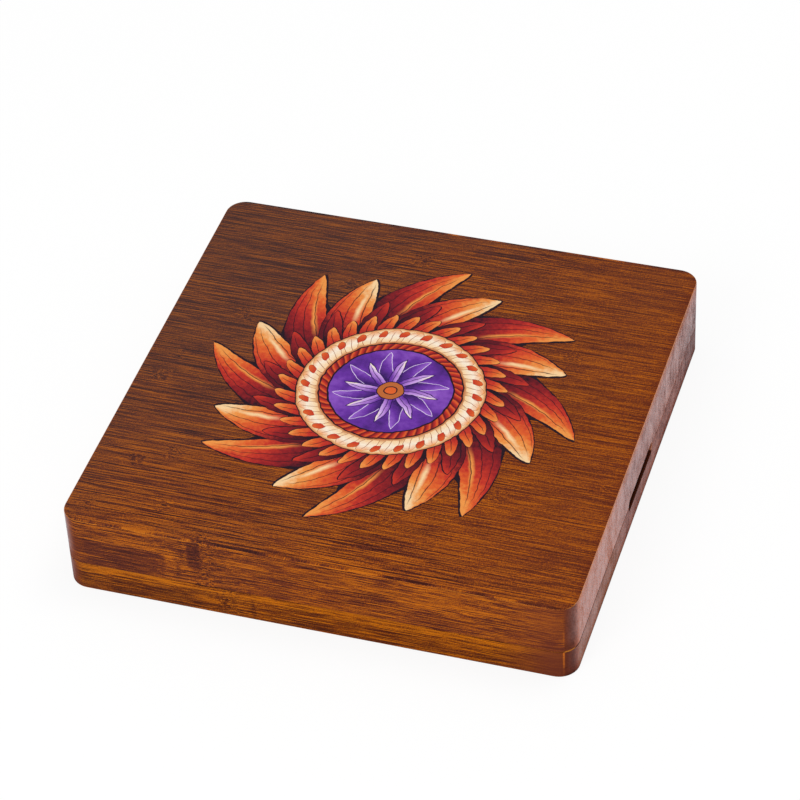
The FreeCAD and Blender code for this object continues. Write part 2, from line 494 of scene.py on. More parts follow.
# %% Lightness and colour of the long sides
def stain_the_front(at, own):
    """What the boxes of thick stain take from the lightness."""
    stained = 0.0
    for x_low, x_high, z_low, z_high, fade, strength in own.dark_boxes:
        patch = band(at.x, x_low, x_high, fade) * band(at.wavy_z, z_low, z_high, 0.8)
        stained += patch * at.front_on * strength
    return stained


def break_up_knots(at, own, tone):
    """Beside a knuckle the fibres break up into short dashes."""
    place = joined(at.x * 0.42, at.y * 0.42, at.z * 1.5)
    fleck = noise(place, detail=3.0, roughness=0.65)
    for x_low, x_high, z_low, z_high, strength in own.knots:
        knot = band(at.x, x_low, x_high, 5.0) * band(at.wavy_z, z_low, z_high, 1.2)
        tone += knot * at.front_on * ((fleck - 0.47) * strength)
    return tone


def lightness(at, own, painted_reflection_haze, margin):
    """How light the wood is, from 0 to 1."""
    contrast = ramp(at.x, -40.0, 80.0, 1.0, 0.94) * ramp(at.y, -92.0, -72.0, 1.28, 1.0)
    contrast = ramp(at.front_on, 0.0, 1.0, contrast, 1.45)
    stained = stain_the_front(at, own)
    # where the stain lies thick the fibres show less
    contrast *= ramp(stained, 0.0, 0.24, 1.0, 0.62)
    tone = 0.5 + at.fibre * contrast
    fine_share = ramp(at.front_on, 0.0, 1.0, ramp(at.x, -40.0, 60.0, 0.1, 0.9), 0.7)
    tone += (at.fine - 0.5) * fine_share
    tone -= stained
    tone += at.front_on * -0.01
    for middle, reach, strength in own.dark_spots:
        tone -= spot(at.place, middle, reach) * strength
    for low, high, fade, slope, strength in own.pale_bands:
        tone += band(at.wavy_z + at.x * slope, low, high, fade) * at.front_on * strength
    tone = break_up_knots(at, own, tone)
    tone -= margin * 0.08
    # the painted reflection haze makes the wood a little darker
    tone -= painted_reflection_haze * 0.09
    # on the front the darkest fibres are not quite as dark
    too_dark = maths("MAXIMUM", 0.42 - tone, 0.0)
    return tone + too_dark * (at.front_on * 0.35)


def long_side_colour(at, own):
    """Brown of the top, the front and the back."""
    margin = ramp(at.x, half_width - 5.0 + at.fibre * 6.0, half_width - 0.8)
    margin *= ramp(at.facing_up, 0.5, 0.8)
    # painted reflection: a cold grey haze that also darkens the wood, heaviest towards the back left
    patchy = noise(at.place, scale=0.018, detail=2.0)
    lie = at.x * 0.0034 + at.y * -0.0026 + (patchy - 0.5) * 0.5
    painted_reflection_haze = ramp(lie, 0.35, -0.55)
    tone = lightness(at, own, painted_reflection_haze, margin)
    colour = stops(tone, *zip((0.0, 0.26, 0.5, 0.74, 1.0), own.wood_colours))
    # painted reflection: the haze mixes the wood towards grey, less on the front
    colour = mix_colours(painted_reflection_haze * ramp(at.front_on, 0.0, 1.0, 0.45, 0.25), colour,
                         paint(61, 61, 61))
    rubbed = ramp(at.x, 10.0, half_width - 10, 0.0, 0.24) * ramp(at.front_on, 1.0, 0.0)
    colour = mix_colours(rubbed, colour, paint(122, 58, 27))
    colour = mix_colours(margin * 0.25, colour, paint(108, 42, 20))
    # the front takes more stain at both of its tips
    right_tip = ramp(at.x, half_width - 32, half_width - 6)
    left_tip = ramp(at.x, 8 - half_width, 4 - half_width, 0.0, 0.6)
    tip = maths("MAXIMUM", right_tip, left_tip) * at.front_on
    return mix_colours(tip * own.tip_share, colour, own.tip_colour)


print("long sides can be coloured")

# %% [markdown]
# ## Stained bamboo: the cut ends
# A cut end drinks stain unevenly and scatters light, so it is paler and redder than the long
# sides. The upright corners are neither the one nor the other. They get painted shade, and a
# painted highlight draws a thin bright line where the long fibres turn into the cut. The
# bottom edge of the cut ends gets painted shade too.

# %% Colour of the cut ends, edge wear, painted highlights and painted shade
def cut_end_colour(at, own):
    """Brown of the two cut ends and of the upright corners."""
    colour = stops(at.smeared + 0.5, *zip((0.0, 0.5, 1.0), own.cut_colours))
    # painted shade: the upright corners are darkened where the long side turns into the cut end
    turned = maths("MAXIMUM", ramp(at.end_on, 0.82, 0.985), 1.0 - at.rounding)
    turned = maths("MAXIMUM", turned, ramp(at.x, 1.0, -1.0, 0.0, 0.4))
    corner_painted_shade = mix_colours(1.0, colour, (0.47, 0.42, 0.42, 1), blend="MULTIPLY")
    colour = mix_colours(turned, corner_painted_shade, colour)
    # the near part of a cut end took less stain than the rest, and its far lower part more
    flat = ramp(at.end_on, 0.95, 0.995)
    colour = mix_colours(ramp(at.y, -14.0, -52.0) * flat * 0.5, colour, own.pale_cut)
    far_low = ramp(at.y, half_depth - 42, half_depth - 14) * ramp(at.z, top - 6, seam + 3)
    colour = mix_colours(far_low * 0.5, colour, paint(84, 44, 38))
    warm = ramp(at.z, top - 6, top - 0.6) * flat
    colour = mix_colours(warm * 0.4, colour, paint(206, 108, 56))
    # painted shade along the bottom edge of the cut ends, next to the floor
    return mix_colours(ramp(at.z, 1.8, 0.4, 0.0, 0.55), colour, paint(62, 32, 24))


def paint_corner_highlight(at, own, colour):
    """A painted highlight: a thin bright line where the front turns into the right cut end."""
    low, high, fade, strength = own.upright_line
    run = band(at.wavy_z, low, high, fade) * strength * ramp(at.y, 10.0, -10.0)
    line = band(at.end_on, 0.42, 0.52, 0.03) * ramp(at.grain, 0.35, 0.6, 0.3, 0.9)
    return mix_colours(line * ramp(at.x, -10.0, 10.0) * run, colour, paint(196, 104, 34))


def paint_edge_wear_and_glint(at, colour):
    """Bare wood along the top and bottom edges, partly wear and partly a painted highlight where the
    rounding catches light, and a painted highlight palest along the top of the cut ends.
    """
    wear_and_glint = band(abs(at.facing_up), 0.25, 0.93, 0.15) * ramp(at.grain, 0.4, 0.62)
    wear_and_glint *= 1.0 - at.outermost
    wear_and_glint *= ramp(abs(at.x), 35.0, 72.0, 0.25, 0.8)
    colour = mix_colours(wear_and_glint, colour, paint(214, 128, 38))
    # painted highlight along the top edge of the cut ends, where the coat would catch light
    crest_glint = band(at.facing_up, 0.45, 0.86, 0.12) * at.outermost
    crest_glint *= ramp(at.z, top - 1.0, top - 0.6)
    return mix_colours(crest_glint * 0.85, colour, paint(232, 166, 122))


print("cut ends can be coloured")

# %% [markdown]
# ## Stained bamboo: seam and finger slot
# The seam gets painted shade, faint along the front and a dark line on the near half of the cut
# ends, and a painted golden highlight where it rounds the near corner. The finger slot gets
# painted shade inside, up to a painted highlight on its far end, where light would fall.

# %% Seam and finger slot
def paint_seam_glint_and_shade(at, colour):
    """Painted golden highlight where the seam rounds the near corner. Also returns where the seam gets
    painted shade.
    """
    near_seam = ramp(abs(at.z - seam), 0.42, 0.2)
    # painted shade in the seam's groove: faint on the front, strongest on the near half of the cut
    # ends
    seam_shade_strength = ramp(at.y, 10.0, -70.0, 0.12, 0.9)
    seam_painted_shade = near_seam * ramp(at.outermost, 0.0, 1.0, 0.28, seam_shade_strength)
    # painted highlight: a golden glint where the seam rounds the near corner
    corner = at.rounding * band(at.x, half_width - 4.6, half_width - 0.5, 0.8)
    colour = mix_colours(corner * near_seam * 0.8, colour, paint(196, 124, 40))
    return colour, seam_painted_shade * (1.0 - corner)


def paint_slot_light_and_shade(at, colour):
    """Painted highlight on the slot's far end. Also returns where the slot gets painted shade."""
    behind = ramp(at.x, half_width - slot_depth - 0.2, half_width - slot_depth - 0.1)
    rise = at.z - (seam - 0.25)
    beyond = abs(at.y) - (slot_half_length - slot_half_height)
    beyond = maths("MAXIMUM", beyond, 0.0)
    from_middle = maths("SQRT", beyond * beyond + rise * rise)
    lip = slot_half_height + slot_bevel
    mouth = ramp(from_middle, lip + 0.35, lip + 0.15)
    # painted highlight: lit wood colour on the slot's far end, where light would fall
    painted_light_from = slot_half_length - 3.4 - (at.z - seam) * 1.4
    lit = behind * mouth * ramp(at.y - painted_light_from, -0.9, 0.1)
    colour = mix_colours(lit * 0.85, colour, paint(190, 124, 98))
    # painted shade inside the slot, up to the painted highlight
    dark = behind * band(at.y, -slot_half_length - slot_bevel, painted_light_from, 1.0) * mouth
    return colour, dark * 0.95


print("slot is", 2 * slot_half_length, "mm long and", slot_depth, "mm deep")

# %% [markdown]
# ## Stained bamboo: the sealing coat
# The coat is a clear layer over the wood, and its weight says how much of it is left. The
# lid's cut ends have most of it, the base's about half, and the long sides almost none.
# Fingers, dust and rough fibres have thinned it here and there.

# %% Sealing coat and finished blocks
def coat_weight(at, own, dark):
    """How much of the clear coat is left, from 0 to 1."""
    seal = ramp(at.y, -half_depth, half_depth, own.seal_near, own.seal_far)
    patch = 1.0 + at.smeared * 1.6
    patch += (at.fine - 0.5) * ramp(at.y, -60.0, 40.0, 0.6, 0.5)
    seal = seal * patch * ramp(at.z, 0.0, 7.0, 0.24, 1.0)
    # handling has rubbed the coat thin round the finger slot
    handled = band(at.y, -72.0, 62.0, 26.0) * ramp(at.z, 26.0, 17.0, 0.0, 0.17)
    seal *= 1.0 - handled
    # on the far half the lid's lower edge is as dull as the base under it
    in_lid = maths("GREATER_THAN", at.z, seam)
    low_lid = ramp(at.z, seam + 8, seam) * in_lid * ramp(at.y, -10.0, 30.0, 0.0, 0.2)
    seal *= 1.0 - low_lid
    # dust dulls the lid's near rounding close to the seam
    dull = ramp(at.z, seam + 8, seam + 1) * in_lid
    dull *= ramp(at.y, 9 - half_depth, 4 - half_depth)
    seal *= 1.0 - dull * 0.75
    seal *= ramp(at.z, top - 6, top - 1, 1.0, 0.78)
    # the coat thickens slowly round the left corners and late round the right ones
    start, full = ramp(at.x, -1.0, 1.0, 0.22, 0.46), ramp(at.x, -1.0, 1.0, 0.85, 0.99)
    # no coat where the seam and the slot have painted shade
    return maths("MULTIPLY", ramp(at.end_on, start, full, 0.05, seal), 1.0 - dark, clamp=True)


def make_block_bamboo(name, **values):
    """Stained bamboo of one block, with that block's own marks and colours."""
    own = SimpleNamespace(**values)
    material, tree, shader = new_material(name)
    at = read_surface(tree, own)
    # wood turns into cut end sooner and more slowly round a left corner than a right one
    start, full = ramp(at.x, -1.0, 1.0, 0.25, 0.4), ramp(at.x, -1.0, 1.0, 0.75, 0.6)
    colour = mix_colours(ramp(at.end_on, start, full), long_side_colour(at, own),
                         cut_end_colour(at, own))
    colour = paint_corner_highlight(at, own, colour)
    colour = paint_edge_wear_and_glint(at, colour)
    colour, seam_painted_shade = paint_seam_glint_and_shade(at, colour)
    colour, slot_painted_shade = paint_slot_light_and_shade(at, colour)
    # painted shade: the seam and the slot are mixed towards near-black brown
    dark = maths("MAXIMUM", seam_painted_shade, slot_painted_shade)
    colour = mix_colours(dark, colour, paint(54, 22, 12))
    feed_named(shader, Base_Color=colour, Roughness=0.5, Specular_IOR_Level=0.0,
               Coat_Weight=coat_weight(at, own, dark), Coat_IOR=1.5, Coat_Roughness=0.22)
    add_bump(shader, at.relief, 0.04, 0.5)
    return material


front = -half_depth
lid_seed, base_seed = 11.0, 47.0
# spots are (middle, reach, strength), and boxes (x from, x to, z from, z to, fade, strength)
lid_bamboo = make_block_bamboo(
    "lid_bamboo_stained", seed=lid_seed, knuckle_shift=-30.0, front_fibre=0.34,
    dark_spots=[
        ((-68, 74, top), (16, 9, 9), 0.13), ((-52, 64, top), (9, 5, 5), 0.10),
        ((58, 47, top), (6, 4, 4), 0.14), ((40, -74, top), (11, 5, 5), 0.08),
        ((-52, -90, top), (12, 6, 6), 0.10), ((84, 62, top), (7, 5, 5), 0.08),
        ((-46, front, 27), (3.5, 4, 12), 0.20), ((-53, front, 19), (1.8, 3, 8), 0.26),
        ((-50, front, 31), (16, 4, 5), 0.12), ((52, front, 28), (34, 4, 8), -0.15),
        ((-51.5, front, 28), (2.2, 4, 8), 0.26), ((-38, front, 28), (7, 4, 9), 0.17),
        ((-56.5, front, 26), (2.5, 4, 7), -0.24), ((88, front, 27), (9, 4, 8), -0.07),
        ((92, front, 16), (8, 4, 5), 0.28),
    ],
    dark_boxes=[
        (-98, -57, seam - 2, 27.0, 3.0, 0.20), (-49.6, -43.2, 21.5, top + 2, 1.2, 0.29),
        (-56, 100, seam - 2, 24.5, 3.0, 0.03), (-45, 14, seam + 1, top + 2, 8.0, 0.09),
        (26, 90, seam - 2, 21.5, 12.0, 0.06),
    ],
    # bands are (z from, z to, fade, slope, strength), and knots (x from, x to, z from, z to, strength)
    pale_bands=[(25.0, 30.0, 1.8, 0.013, 0.18), (top - 1.6, top + 3, 0.8, 0.0, 0.12)],
    knots=[(-66, -20, seam, top, 1.5)],
    wood_colours=(paint(58, 26, 24), paint(92, 42, 33), paint(120, 56, 29),
                  paint(160, 80, 18), paint(198, 108, 24)),
    cut_colours=(paint(96, 46, 34), paint(160, 84, 56), paint(200, 112, 72)),
    tip_share=0.58, tip_colour=paint(116, 54, 35), pale_cut=paint(208, 108, 50),
    # the painted corner highlight is (z from, z to, fade, strength)
    upright_line=(seam + 2, seam + 13, 5.0, 0.55), seal_near=0.86, seal_far=0.68,
)
base_bamboo = make_block_bamboo(
    "base_bamboo_stained", seed=base_seed, knuckle_shift=-113.0, front_fibre=0.45,
    dark_spots=[
        ((-24.5, front, 5), (1.6, 3, 7), 0.30), ((-33, front, 7), (5, 3, 4), 0.10),
        ((88, front, 4), (11, 4, 4), -0.08),
    ],
    dark_boxes=[(-100, 100, -2.0, 8.8, 3.0, 0.11)],
    pale_bands=[(9.4, seam + 2, 1.6, 0.0, 0.34), (-2, 1.2, 0.6, 0.0, 0.15)],
    knots=[(-46, -16, -2, seam, 1.5)],
    wood_colours=(paint(58, 25, 17), paint(92, 41, 21), paint(122, 58, 17),
                  paint(163, 83, 10), paint(204, 114, 16)),
    cut_colours=(paint(84, 38, 26), paint(142, 71, 48), paint(184, 98, 60)),
    tip_share=0.88, tip_colour=paint(108, 50, 34), pale_cut=paint(162, 90, 38),
    upright_line=(1.0, seam + 12, 10.0, 1.4), seal_near=0.52, seal_far=0.36,
)
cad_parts["lid_body"].material_slots[0].material = lid_bamboo
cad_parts["base_body"].material_slots[0].material = base_bamboo
print("blocks stained")

# %% [markdown]
# ## Dividers and magnets
# The dividers are thin bamboo strips with a lighter, matt finish. Their fibres run along each
# strip, so for the ones that run front to back x and y change places before the grain is
# asked for. The magnets are nickel, with faint turning marks from their polishing.

# %% Divider bamboo
def make_strip_bamboo(name, seed, lengthwise_y):
    """Bamboo of a thin strip that runs along y, or else along x."""
    material, tree, shader = new_material(name)
    x, y, z = split(place_in_mm(tree))
    along, across = (y, x) if lengthwise_y else (x, y)
    grain = use_group(bamboo_grain, Place=joined(along, across, z), Seed=seed,
                      Strip_Width=23.0, Knuckle_Spacing=310.0)
    wood = stops(grain["Tone"], (0.0, paint(84, 48, 26)), (0.26, paint(134, 84, 44)),
                 (0.5, paint(176, 118, 64)), (0.74, paint(202, 146, 86)),
                 (1.0, paint(222, 172, 112)))
    cut_end = mix_colours(1.0, wood, (0.45, 0.42, 0.38, 1), blend="MULTIPLY")
    end_on = abs(split(coordinates(tree, "Normal"))[1 if lengthwise_y else 0])
    colour = mix_colours(ramp(end_on, 0.6, 0.8), wood, cut_end)
    # each strip is darker towards its foot, where it meets the felt
    foot = ramp(z, seam - 5.5, 5.0, 0.0, 0.45)
    colour = mix_colours(foot, colour, paint(70, 40, 24))
    feed_named(shader, Base_Color=colour, Roughness=0.55, Specular_IOR_Level=0.3)
    add_bump(shader, grain["Fibre"], 0.03, 0.5)
    return material


long_strip = make_strip_bamboo("long_divider_bamboo", 83.0, False)
cross_strip = make_strip_bamboo("cross_divider_bamboo", 131.0, True)
for name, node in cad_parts.items():
    if name.startswith("long_divider"):
        node.material_slots[0].material = long_strip
    elif name.startswith("cross_divider"):
        node.material_slots[0].material = cross_strip
print("dividers finished")

# %% Magnet nickel
def make_nickel():
    """Nickel with turning marks round the middle of each of the four pairs of magnets."""
    material, tree, shader = new_material("magnet_nickel_plate")
    place = place_in_mm(tree)
    x, y = split(place)[:2]
    off_x, off_y = abs(x) - magnet_x, abs(y) - magnet_y
    radius = maths("SQRT", off_x * off_x + off_y * off_y)
    rings = noise(joined(radius, 0.0, 0.0), scale=9.0)
    clouds = noise(place, scale=0.6)
    colour = stops(clouds, (0.3, paint(196, 193, 186)), (0.7, paint(222, 219, 212)))
    feed_named(shader, Base_Color=colour, Metallic=1.0,
               Roughness=ramp(clouds, 0.3, 0.75, 0.18, 0.34))
    add_bump(shader, rings, 0.01, 0.4)
    return material


magnet_low, magnet_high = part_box("base_magnet_back_right")
magnet_x = (magnet_low.x + magnet_high.x) / 2 / MM
magnet_y = (magnet_low.y + magnet_high.y) / 2 / MM
nickel = make_nickel()
for name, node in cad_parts.items():
    if "magnet" in name:
        node.material_slots[0].material = nickel
print("magnets plated, their middles at", round(magnet_x, 2), round(magnet_y, 2))

# %% [markdown]
# ## Felt
# Felt is never quite flat. It dips where a divider presses on it, swells a little between
# dividers, and its cut edge is soft. A sheet is made as a grid whose lines lie closer where
# the surface bends. The grid's corners are pulled in to follow the rounded corners.

# %% Where the felt lies
felt_low, felt_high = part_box("base_felt")
roof_low, roof_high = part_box("lid_felt_sheet")
band_low, band_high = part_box("lid_felt_band")
felt_corner, grid_step = 7.9, 2.1
cross_boxes = [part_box(f"cross_divider_{number}") for number in range(1, 7)]
long_boxes = [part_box(f"long_divider_{number}") for number in range(1, 5)]
cross_lines = [(low.x + high.x) / 2 / MM for low, high in cross_boxes]
long_lines = [(low.y + high.y) / 2 / MM for low, high in long_boxes]


def unevenness(x, y, seed):
    """From 0 to 1: slow swells, with small ones on top."""
    slow = fixed_noise.noise(Vector((x / 23, y / 23, seed)))
    quick = fixed_noise.noise(Vector((x / 5.5, y / 5.5, seed + 9)))
    return min(max(0.5 + 0.7 * slow + 0.35 * quick, 0), 1)


def pressed(x, y):
    """1 under a divider, 0 well away from it."""
    def under(place, lines):
        return max(1 - max(abs(place - line) - 1.1, 0) / 1.6 for line in lines)

    across = under(x, cross_lines) if y > long_lines[-1] - 2 else 0.0
    return max(across, under(y, long_lines), 0)


print("cross dividers at", [round(line, 2) for line in cross_lines])

# %% Felt sheets
def grid_lines(half, bends):
    """Grid lines from -half to half, closer at both edges and round each bend."""
    lines = {round(side * (half - step), 3) for side in (-1, 1) for step in (0.0, 0.12, 0.4, 0.9)}
    for bend in bends:
        lines |= {round(bend + side * step, 3) for side in (-1, 1) for step in (0.9, 1.5, 2.1, 3.2)}
    place = -half + 2.4
    while place < half - 1.2:
        if all(abs(place - line) > 0.8 for line in lines):
            lines.add(round(place, 3))
        place += grid_step
    return sorted(lines)


def into_corner(x, y, half):
    """Pulls a point of a square into the same square with rounded corners."""
    core = half - felt_corner
    over_x, over_y = abs(x) - core, abs(y) - core
    if over_x <= 0 or over_y <= 0:
        return x, y
    pull = max(over_x, over_y) / math.hypot(over_x, over_y)
    return math.copysign(core + over_x * pull, x), math.copysign(core + over_y * pull, y)


def sunk(x, y, half, seed, face_up):
    """How far the face that shows lies under the full thickness."""
    to_edge = half - max(abs(x), abs(y))
    dips = 0.10 * unevenness(x, y, seed) + 0.10 * (pressed(x, y) if face_up else 0)
    return dips + 0.35 * max(0, 1 - to_edge / 0.45) ** 2


def make_felt_sheet(name, low, high, face_up, bends_x, bends_y, seed):
    """Sheet between two heights, uneven on the face that shows."""
    half = high.x / MM
    xs, ys = grid_lines(half, bends_x), grid_lines(half, bends_y)
    last_x, last_y = len(xs) - 1, len(ys) - 1
    shape = bmesh.new()
    layers = []
    for upper, height, inwards in ((False, low.z / MM, 1), (True, high.z / MM, -1)):
        rows = []
        for y in ys:
            row = []
            for x in xs:
                sink = sunk(x, y, half, seed, face_up) if upper == face_up else 0.0
                px, py = into_corner(x, y, half)
                row.append(shape.verts.new((px * MM, py * MM, (height + inwards * sink) * MM)))
            rows.append(row)
        layers.append(rows)
        for j in range(last_y):
            for i in range(last_x):
                face = [rows[j][i], rows[j][i + 1], rows[j + 1][i + 1], rows[j + 1][i]]
                shape.faces.new(face if upper else face[::-1])
    rim = [(i, 0) for i in range(last_x)] + [(last_x, j) for j in range(last_y)]
    rim += [(i, last_y) for i in range(last_x, 0, -1)] + [(0, j) for j in range(last_y, 0, -1)]
    under, over = layers
    for (i, j), (next_i, next_j) in zip(rim, rim[1:] + rim[:1]):
        shape.faces.new((under[j][i], under[next_j][next_i], over[next_j][next_i], over[j][i]))
    felt = object_from(shape, name)
    for face in felt.data.polygons:
        face.use_smooth = True
    return felt


floor_felt = make_felt_sheet("base_felt_laid", felt_low, felt_high, True, cross_lines, long_lines, 3.0)
roof_felt = make_felt_sheet("lid_felt_laid", roof_low, roof_high, False, [], [], 17.0)
print("felt sheets have", len(floor_felt.data.polygons), "and", len(roof_felt.data.polygons), "faces")

# %% [markdown]
# ## Felt band
# A third piece of felt runs once round the lid's wall and meets itself in a butt joint on the
# left. Its section is drawn once, then set at each point of the path, turned to face inwards.

# %% Felt band round the lid's wall
band_thick, butt_gap = 1.5, 0.4


def wall_path(half, radius):
    """Points clockwise round a rounded square from its butt joint, each with its way out."""
    core, steps, turn_steps = half - radius, 24, 8
    first_run = core - butt_gap / 2
    points = [(-half, butt_gap / 2 + first_run * step / steps, -1.0, 0.0)
              for step in range(steps + 1)]
    for corner, (cx, cy) in enumerate(((-core, core), (core, core), (core, -core), (-core, -core))):
        start, end = math.pi * (1 - corner / 2), math.pi * (1 - corner / 2) - math.pi / 2
        for step in range(1, turn_steps + 1):
            angle = start - math.pi / 2 * step / turn_steps
            points.append((cx + radius * math.cos(angle), cy + radius * math.sin(angle),
                           math.cos(angle), math.sin(angle)))
        run, run_steps = (2 * core, 2 * steps) if corner < 3 else (first_run, steps)
        from_x, from_y = points[-1][:2]
        for step in range(1, run_steps + 1):
            gone = run * step / run_steps
            points.append((from_x + math.sin(end) * gone, from_y - math.cos(end) * gone,
                           math.cos(end), math.sin(end)))
    return points


def make_felt_band():
    """Strip of felt wrapped once round the lid's wall."""
    low, high = band_low.z / MM, band_high.z / MM
    heights = [low + 0.45, low + 1.2] + [low + 2.4 + 1.55 * step for step in range(8)] + [high]
    # (inset, height) across the band: outer face upwards, then the inner face downwards
    section = [(0.35, low), (0.0, low + 0.35), (0.0, high)]
    section += [(band_thick, height) for height in reversed(heights)]
    section += [(band_thick - 0.14, low + 0.14), (band_thick - 0.45, low)]
    shape = bmesh.new()
    rings = []
    for x, y, out_x, out_y in wall_path(band_high.x / MM, felt_corner):
        ring = []
        for inset, height in section:
            if inset == band_thick:
                inset -= 0.12 * unevenness(x + y * 0.7, height * 1.7, 29.0)
            ring.append(shape.verts.new((
                (x - out_x * inset) * MM, (y - out_y * inset) * MM, height * MM)))
        rings.append(ring)
    for ring, after in zip(rings, rings[1:]):
        for k in range(len(section)):
            n = (k + 1) % len(section)
            shape.faces.new((ring[k], ring[n], after[n], after[k]))
    shape.faces.new(rings[0][::-1])
    shape.faces.new(rings[-1])
    bmesh.ops.recalc_face_normals(shape, faces=shape.faces[:])
    wrapped = object_from(shape, "lid_felt_band_wrapped")
    for face in wrapped.data.polygons:
        face.use_smooth = len(face.vertices) == 4
    return wrapped


wall_felt = make_felt_band()
print("felt band has", len(wall_felt.data.polygons), "faces")

# %% [markdown]
# ## Felt material
# Pressed wool is a mat of crossing hairs. Noise stretched in three directions makes short
# hairs, a fine one makes the nap, and a sheen gives the pale bloom that wool has when light
# grazes it.

# %% Felt material
def make_felt_material(name, dark, pale):
    """Pressed wool between two colours."""
    material, tree, shader = new_material(name)
    place = place_in_mm(tree)
    x, y, z = split(place)

    def hairs(turn, seed):
        """Noise drawn out in one direction, turned by an angle from x."""
        c, s = math.cos(turn), math.sin(turn)
        along = x * c + y * s + z * 0.7
        across = y * c - x * s
        stretched = joined(along * 0.55, across * 4.2, z * 4.2 + seed)
        return noise(stretched, roughness=0.6, distortion=0.8)

    mat = maths("MAXIMUM", hairs(0.5, 0.0), hairs(1.9, 40.0))
    mat = maths("MAXIMUM", mat, hairs(2.8, 80.0))
    nap = noise(place, scale=2.6, detail=3.0, roughness=0.7)
    blotch = noise(place, scale=0.06)
    level = mat * 0.9 + nap * 0.45 + blotch * 0.25
    colour = stops(level, (0.72, dark), (1.0, pale))
    lint = ramp(hairs(1.2, 160.0), 0.74, 0.8, 0.0, 0.5)
    feed_named(shader, Base_Color=mix_colours(lint, colour, paint(132, 130, 130)), Roughness=0.95,
               Specular_IOR_Level=0.1, Sheen_Weight=0.22, Sheen_Roughness=0.5)
    add_bump(shader, level, 0.12, 0.7)
    return material


base_wool = make_felt_material("base_wool_felt", paint(26, 24, 28), paint(66, 63, 68))
lid_wool = make_felt_material("lid_wool_felt", paint(26, 24, 28), paint(66, 63, 68))
print("felt materials", base_wool.name, lid_wool.name)

# %% Felt laid in
for felt, node, body, wool, slot_name in (
    (floor_felt, "base_felt", "base", base_wool, "base_felt"),
    (roof_felt, "lid_felt_sheet", "lid", lid_wool, "lid_felt"),
    (wall_felt, "lid_felt_band", "lid", lid_wool, "lid_felt"),
):
    felt.data.materials.append(wool)
    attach(felt, body)
    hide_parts(node)

# %% [markdown]
# ## The printed ornament: its outline
# The ornament is ink on the lid, a tenth of a millimetre thick. It is a wheel of flames that
# all lean one way round a violet rosette. Each flame is widest near its root and pointed at
# its tip, so one formula gives its half-width at any distance from the centre. The same
# formula draws the outline here and the flames in the ink's material, so the two agree.

# %% Flame wheel outline
flame_count, flame_root, long_tip, short_tip = 8, 42.0, 77.5, 69.0
flame_width, flame_bulge, flame_sharp = 0.68, 1.2, 0.85
# turns that a flame leans by, for each millimetre outwards
flame_lean = 0.085 / (long_tip - flame_root)
ink_border = 0.5
ink_low, ink_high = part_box("lid_print")


def half_width_in_turns(radius, tip):
    """Half of a flame's width at this radius, its dark border included, as a share of a turn."""
    along = (radius - flame_root) / (tip - flame_root)
    if along >= 1:
        return 0.0
    shape = (1 - along) ** flame_sharp * (1 + flame_bulge * along)
    width = flame_width * flame_root * shape / (2 * flame_count * radius)
    return width + ink_border / (2 * math.pi * radius)


def outline_radius(turn):
    """How far the ink reaches in this direction, before the flames lean."""
    steps = 400
    for step in range(steps, 0, -1):
        radius = flame_root + (long_tip - flame_root) * step / steps
        for tip, offset in ((long_tip, 0.0), (short_tip, 0.5)):
            apart = abs((turn * flame_count + offset) % 1 - 0.5) / flame_count
            if radius < tip and apart <= half_width_in_turns(radius, tip):
                return radius
    return flame_root


def make_ornament():
    """Thin plate from the centre out to the outline, in columns that lean as the flames do."""
    shares = [0.0, 0.03, 0.07, 0.12, 0.18, 0.26, 0.35, 0.44, 0.56, 0.65, 0.74, 0.82, 0.88, 0.93, 0.97]
    rows = [0.3, 0.5, 0.62, 0.72, 0.80, 0.87, 0.94, 1.0]
    pieces = flame_count * 2
    turns = [(piece + share) / pieces for piece in range(pieces) for share in shares]
    shape = bmesh.new()
    rims = []
    for height in (ink_low.z, ink_high.z):
        middle = shape.verts.new((0, 0, height))
        columns = []
        for turn in turns:
            reach = outline_radius(turn)
            column = []
            for radius in (reach * row for row in rows):
                angle = 2 * math.pi * (turn - flame_lean * (radius - flame_root))
                column.append(shape.verts.new((
                    radius * math.cos(angle) * MM, radius * math.sin(angle) * MM, height)))
            columns.append(column)
        for column, after in zip(columns, columns[1:] + columns[:1]):
            faces = [(middle, column[0], after[0])]
            faces += zip(column, column[1:], after[1:], after)
            for face in faces:
                shape.faces.new(face if height == ink_high.z else face[::-1])
        rims.append([column[-1] for column in columns])
    under, over = rims
    for corner, upper, next_corner, next_upper in zip(under, over, under[1:] + under[:1],
                                                      over[1:] + over[:1]):
        shape.faces.new((corner, next_corner, next_upper, upper))
    return object_from(shape, "printed_ornament")


ornament = make_ornament()
print("ornament has", len(ornament.data.polygons), "faces")

# %% [markdown]
# ## The printed ornament: its ink
# Everything in the wheel is drawn from two numbers, the distance from the centre and the
# angle round it. One group draws a ring of leaves. It tells where its leaves are, where their
# dark border runs, and how far along and across a leaf each place lies, which is what shading
# and veins need. Rings of flames, feathers and petals are the same group with other values.

